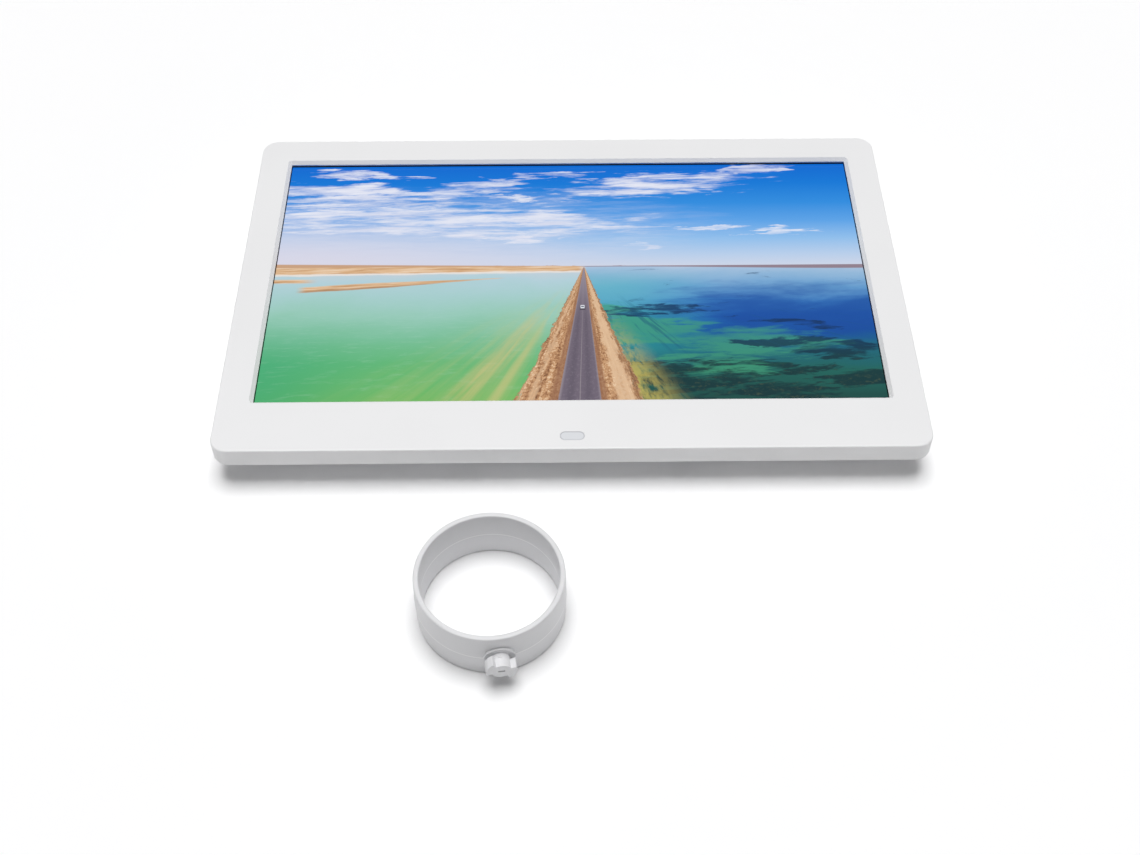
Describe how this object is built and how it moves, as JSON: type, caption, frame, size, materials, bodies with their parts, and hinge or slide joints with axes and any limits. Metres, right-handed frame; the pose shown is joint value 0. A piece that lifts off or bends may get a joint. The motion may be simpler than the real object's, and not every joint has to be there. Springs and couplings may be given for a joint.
{
  "type": "digital photo frame",
  "caption": "White digital photo frame lying on its back, with a bevelled widescreen window, keys and ports at the back and a detached ring stand.",
  "frame": {"origin": "centre of the flat back, which rests on the table", "axes": "+X to the right of the picture, +Y towards the picture's top edge, +Z out of the screen"},
  "size_m": [0.285, 0.2804, 0.0225],
  "materials": {
    "white_shell": "satin white moulding",
    "white_rear": "fine matt white moulding",
    "white_stand": "satin white moulding",
    "sensor_window": "smooth translucent grey",
    "screen": "matt anti-glare",
    "foam": "black closed-cell foam",
    "tin": "tinned sheet",
    "steel_sheet": "zinc-plated sheet",
    "white_inner": "matt",
    "white_sheet": "matt film",
    "acrylic": "clear",
    "circuit": "solder mask",
    "led": "moulded",
    "black_inner": "moulded",
    "ferrite": "sintered",
    "can": "bare",
    "header": "moulded",
    "key": "satin",
    "plunger": "moulded",
    "switch": "stamped",
    "cone": "coated",
    "magnet": "plated",
    "receiver": "moulded",
    "wire": "insulated",
    "screw": "plated"
  },
  "bodies": {
    "frame": {"backlight_leds": "led", "backlight_strip": "circuit", "backlight_wire": "wire", "battery_holder": "black_inner", "board_chips": "black_inner", "board_headers": "header", "capacitors": "can", "card_socket": "tin", "clock_battery": "can", "cover_screws": "screw", "diffuser_films": "white_sheet", "display_harness": "wire", "driver_board": "circuit", "driver_parts": "black_inner", "earphone_jack": "black_inner", "front_bezel": "white_shell", "infrared_receiver": "receiver", "inner_screws": "screw", "key_board": "circuit", "key_ribbon": "wire", "key_switches": "switch", "light_guide": "acrylic", "main_board": "circuit", "mini_usb_socket": "tin", "panel_back_plate": "tin", "panel_clamps": "steel_sheet", "panel_front_frame": "tin", "panel_tray": "white_inner", "power_inductors": "ferrite", "power_inlet": "black_inner", "rear_cover": "white_rear", "reflector_sheet": "white_sheet", "screen_gasket": "foam", "screen_glass": "screen", "sensor_board": "circuit", "sensor_window": "sensor_window", "sensor_wire": "wire", "speaker_baskets": "black_inner", "speaker_cones": "cone", "speaker_gaskets": "foam", "speaker_magnets": "magnet", "speaker_wires": "wire", "stand_socket": "white_rear", "usb_socket": "tin"},
    "stand": {"stand_ring": "white_stand", "stand_plug": "white_stand"},
    "key_power": {"key_power": "key", "plunger_power": "plunger"},
    "key_menu": {"key_menu": "key", "plunger_menu": "plunger"},
    "key_up": {"key_up": "key", "plunger_up": "plunger"},
    "key_down": {"key_down": "key", "plunger_down": "plunger"},
    "key_left": {"key_left": "key", "plunger_left": "plunger"},
    "key_right": {"key_right": "key", "plunger_right": "plunger"},
    "key_exit": {"key_exit": "key", "plunger_exit": "plunger"}
  },
  "joints": [
    {"name": "power_press", "type": "slide", "parent": "frame", "child": "key_power", "axis": [0, 0, 1], "range_m": [0, 0.0004], "stiffness_N_per_m": 400, "springref_m": -0.0015},
    {"name": "menu_press", "type": "slide", "parent": "frame", "child": "key_menu", "axis": [0, 0, 1], "range_m": [0, 0.0004], "stiffness_N_per_m": 400, "springref_m": -0.0015},
    {"name": "up_press", "type": "slide", "parent": "frame", "child": "key_up", "axis": [0, 0, 1], "range_m": [0, 0.0004], "stiffness_N_per_m": 400, "springref_m": -0.0015},
    {"name": "down_press", "type": "slide", "parent": "frame", "child": "key_down", "axis": [0, 0, 1], "range_m": [0, 0.0004], "stiffness_N_per_m": 400, "springref_m": -0.0015},
    {"name": "left_press", "type": "slide", "parent": "frame", "child": "key_left", "axis": [0, 0, 1], "range_m": [0, 0.0004], "stiffness_N_per_m": 400, "springref_m": -0.0015},
    {"name": "right_press", "type": "slide", "parent": "frame", "child": "key_right", "axis": [0, 0, 1], "range_m": [0, 0.0004], "stiffness_N_per_m": 400, "springref_m": -0.0015},
    {"name": "exit_press", "type": "slide", "parent": "frame", "child": "key_exit", "axis": [0, 0, 1], "range_m": [0, 0.0004], "stiffness_N_per_m": 400, "springref_m": -0.0015},
    {"name": "stand_lift", "type": "slide", "parent": "frame", "child": "stand", "axis": [0, 0, 1], "range_m": [0, 0.12]}
  ]
}
